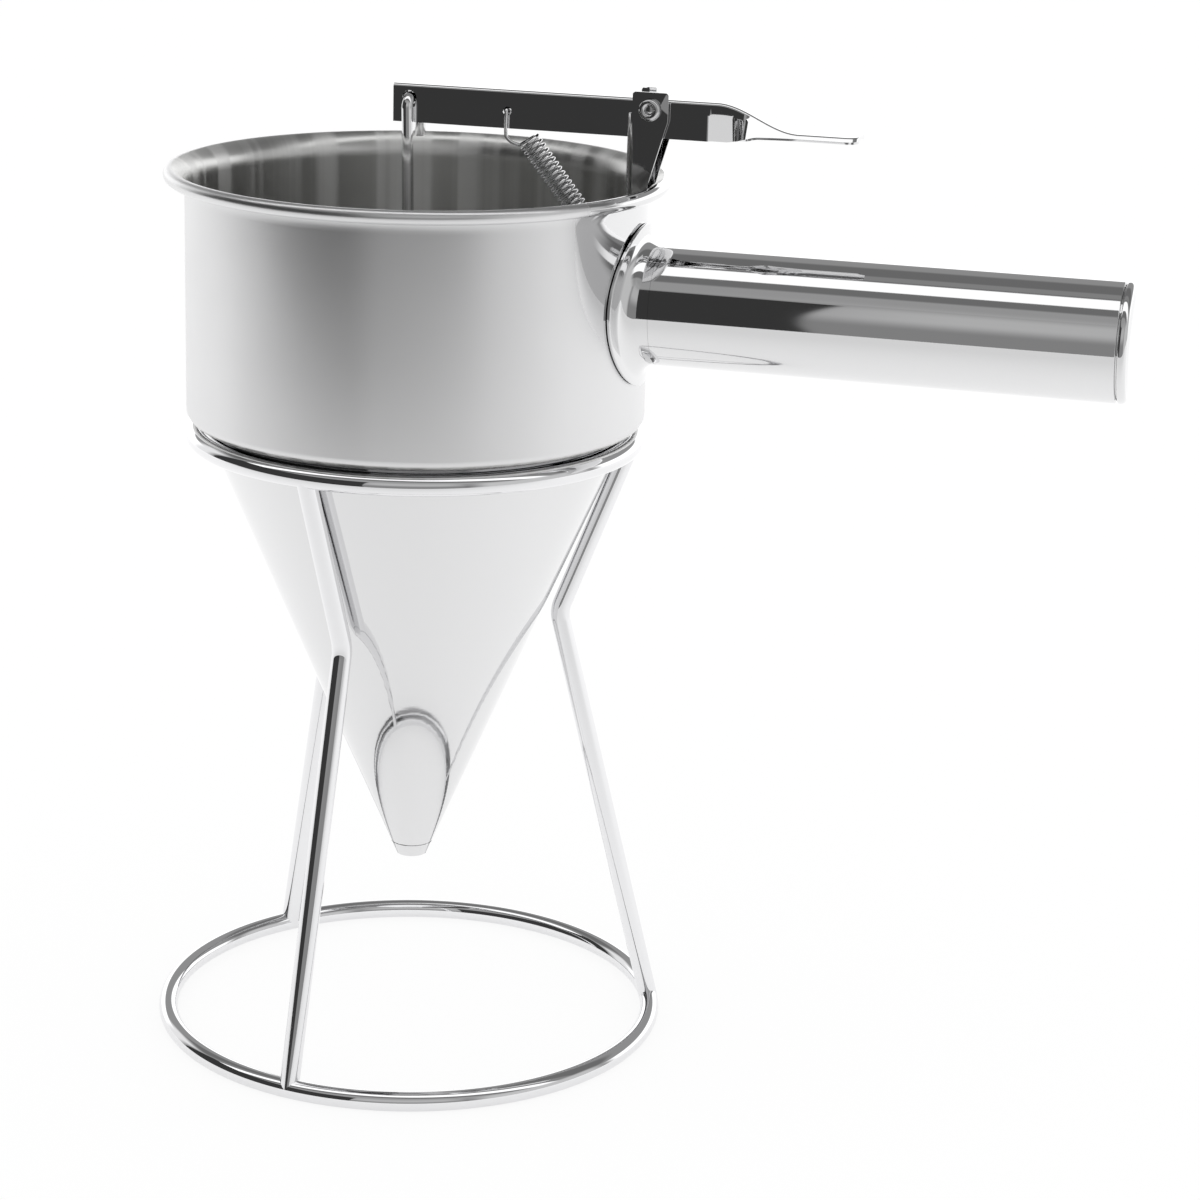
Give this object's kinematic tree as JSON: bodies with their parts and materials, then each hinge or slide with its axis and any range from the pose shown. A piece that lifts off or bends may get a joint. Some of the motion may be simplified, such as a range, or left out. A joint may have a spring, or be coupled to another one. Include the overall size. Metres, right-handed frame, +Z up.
{
  "type": "pancake batter dispenser",
  "caption": "Batter funnel with a side handle and a sprung thumb lever that lifts a stopper off its outlet, standing in a three-legged wire rack.",
  "frame": {"origin": "on the table, at the middle of the whole object's footprint; the funnel's own upright axis is 66.9 mm from it towards -X", "axes": "+X along the handle, from the funnel to the handle's end; +Z up; +Y completes a right-handed frame"},
  "size_m": [0.2922, 0.1584, 0.2958],
  "materials": {
    "chrome_wire": "bright plated wire",
    "satin_steel": "satin stainless steel",
    "polished_steel": "mirror-polished stainless steel",
    "spring_steel": "drawn spring wire"
  },
  "bodies": {
    "stand": {"stand_top_ring": "chrome_wire", "stand_base_ring": "chrome_wire", "stand_leg_1": "chrome_wire", "stand_leg_2": "chrome_wire", "stand_leg_3": "chrome_wire"},
    "hopper": {"hopper_bowl": "satin_steel", "hopper_cone": "polished_steel", "outlet_nozzle": "polished_steel", "handle_collar": "polished_steel", "handle_tube": "polished_steel", "handle_end_cap": "polished_steel", "pivot_bracket": "polished_steel", "pivot_rivet": "polished_steel", "return_spring": "spring_steel"},
    "lever": {"lever": "polished_steel"},
    "stopper": {"stopper_rod": "polished_steel", "stopper_plug": "polished_steel"}
  },
  "joints": [
    {"name": "hopper_lift", "type": "slide", "parent": "stand", "child": "hopper", "axis": [0, 0, 1], "range_m": [0, 0.16]},
    {"name": "lever_pivot", "type": "hinge", "parent": "hopper", "child": "lever", "pos_m": [0.0044, 0, 0.2909], "axis": [0, 1, 0], "range_deg": [0, 25], "stiffness_Nm_per_rad": 0.4, "springref_deg": -17.19, "deforming": ["return_spring"]},
    {"name": "stopper_swing", "type": "hinge", "parent": "lever", "child": "stopper", "pos_m": [-0.0687, 0, 0.2897], "axis": [0, 1, 0], "range_deg": [-25, 0]}
  ],
  "couplings": [
    {"joint": "stopper_swing", "follows": "lever_pivot", "ratio": -1}
  ]
}
